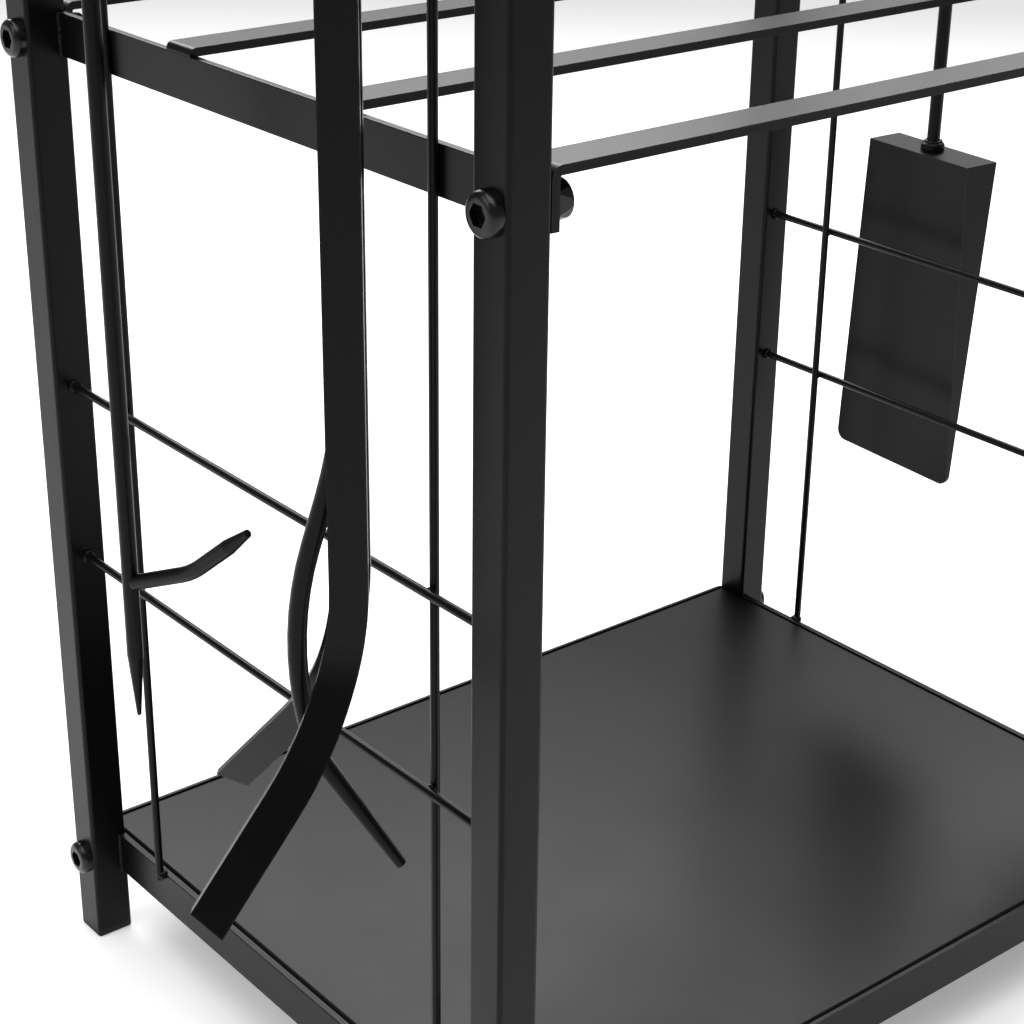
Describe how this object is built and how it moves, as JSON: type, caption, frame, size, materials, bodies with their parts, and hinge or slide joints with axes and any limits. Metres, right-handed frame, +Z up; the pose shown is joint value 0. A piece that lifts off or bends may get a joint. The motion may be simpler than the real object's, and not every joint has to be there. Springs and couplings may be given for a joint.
{
  "type": "fireplace tool set",
  "caption": "Black steel two-level firewood rack with wire side grids and a bottom tray; poker, claw tongs, shovel and brush hang from hooks on its sides.",
  "frame": {"origin": "on the floor under the middle of the overall box; the rack itself is centred 14.5 mm towards +X, because the tongs' claw and the hooks reach out by different amounts", "axes": "+X to the right along the shelf slats, towards the shovel and brush side; +Y to the back, so the front is at -Y; +Z up"},
  "size_m": [0.5378, 0.29, 0.86],
  "materials": {
    "frame_black": "satin black powder coat",
    "tray_black": "satin black powder coat on sheet steel",
    "wire_black": "satin black powder coat",
    "tool_black": "satin black powder coat, lightly worn on edges",
    "fastener_black": "black oxide, slightly polished on the rims",
    "plug_black": "moulded matte plastic",
    "brush_block": "satin black powder coat",
    "bristle_black": "stiff synthetic bristle"
  },
  "bodies": {
    "rack": {"base_back_bar": "frame_black", "base_front_bar": "frame_black", "base_plate": "tray_black", "frame_bolts": "fastener_black", "frame_nuts": "fastener_black", "left_bottom_rail": "frame_black", "left_cross_wire_1": "wire_black", "left_cross_wire_2": "wire_black", "left_cross_wire_3": "wire_black", "left_cross_wire_4": "wire_black", "left_mid_rail": "frame_black", "left_top_rail": "frame_black", "left_upright_wire_1": "wire_black", "left_upright_wire_2": "wire_black", "post_back_left": "frame_black", "post_back_right": "frame_black", "post_caps": "plug_black", "post_feet": "plug_black", "post_front_left": "frame_black", "post_front_right": "frame_black", "right_bottom_rail": "frame_black", "right_cross_wire_1": "wire_black", "right_cross_wire_2": "wire_black", "right_cross_wire_3": "wire_black", "right_cross_wire_4": "wire_black", "right_mid_rail": "frame_black", "right_top_rail": "frame_black", "right_upright_wire_1": "wire_black", "right_upright_wire_2": "wire_black", "shelf_back_slat": "frame_black", "shelf_front_slat": "frame_black", "shelf_middle_slat_1": "frame_black", "shelf_middle_slat_2": "frame_black", "tool_hook_left_front": "wire_black", "tool_hook_left_rear": "wire_black", "tool_hook_right_front": "wire_black", "tool_hook_right_rear": "wire_black", "top_back_bar": "frame_black", "top_front_bar": "frame_black"},
    "tongs_hanger": {"tongs_ring": "tool_black"},
    "tongs_fork": {"tongs_front_arm": "tool_black", "tongs_rear_claw": "tool_black", "tongs_pivot_rivet": "tool_black", "tongs_spacer_rivet": "tool_black"},
    "tongs_finger": {"tongs_round_arm": "tool_black"},
    "poker_hanger": {"poker_ring": "tool_black"},
    "poker": {"poker_grip": "tool_black", "poker_shaft": "tool_black", "poker_prong": "tool_black"},
    "shovel_hanger": {"shovel_ring": "tool_black"},
    "shovel": {"shovel_grip": "tool_black", "shovel_shaft": "tool_black", "shovel_pan": "tool_black", "shovel_collar": "tool_black"},
    "brush_hanger": {"brush_ring": "tool_black"},
    "brush": {"brush_grip": "tool_black", "brush_shaft": "tool_black", "brush_head": "brush_block", "brush_bristles": "bristle_black"}
  },
  "joints": [
    {"name": "tongs_lift_off", "type": "slide", "parent": "rack", "child": "tongs_hanger", "axis": [-0.866, 0, 0.5], "range_m": [0, 0.1]},
    {"name": "tongs_swing", "type": "hinge", "parent": "tongs_hanger", "child": "tongs_fork", "pos_m": [-0.20548, -0.0955, 0.8123], "axis": [0.6334, 0.7738, 0], "range_deg": [-1, 20]},
    {"name": "poker_lift_off", "type": "slide", "parent": "rack", "child": "poker_hanger", "axis": [-0.866, 0, 0.5], "range_m": [0, 0.1]},
    {"name": "poker_swing", "type": "hinge", "parent": "poker_hanger", "child": "poker", "pos_m": [-0.20548, 0.043, 0.8123], "axis": [0.6334, 0.7738, 0], "range_deg": [-0.8, 20]},
    {"name": "shovel_lift_off", "type": "slide", "parent": "rack", "child": "shovel_hanger", "axis": [0.866, 0, 0.5], "range_m": [0, 0.1]},
    {"name": "shovel_swing", "type": "hinge", "parent": "shovel_hanger", "child": "shovel", "pos_m": [0.23452, 0.059, 0.8123], "axis": [-0.0698, -0.9976, 0], "range_deg": [-0.4, 20]},
    {"name": "brush_lift_off", "type": "slide", "parent": "rack", "child": "brush_hanger", "axis": [0.866, 0, 0.5], "range_m": [0, 0.1]},
    {"name": "brush_swing", "type": "hinge", "parent": "brush_hanger", "child": "brush", "pos_m": [0.23452, -0.079, 0.8123], "axis": [0, -1, 0], "range_deg": [-0.8, 20]},
    {"name": "tongs_open", "type": "hinge", "parent": "tongs_fork", "child": "tongs_finger", "pos_m": [-0.20548, -0.0955, 0.688], "axis": [0.6334, 0.7738, 0], "range_deg": [0, 15]}
  ]
}
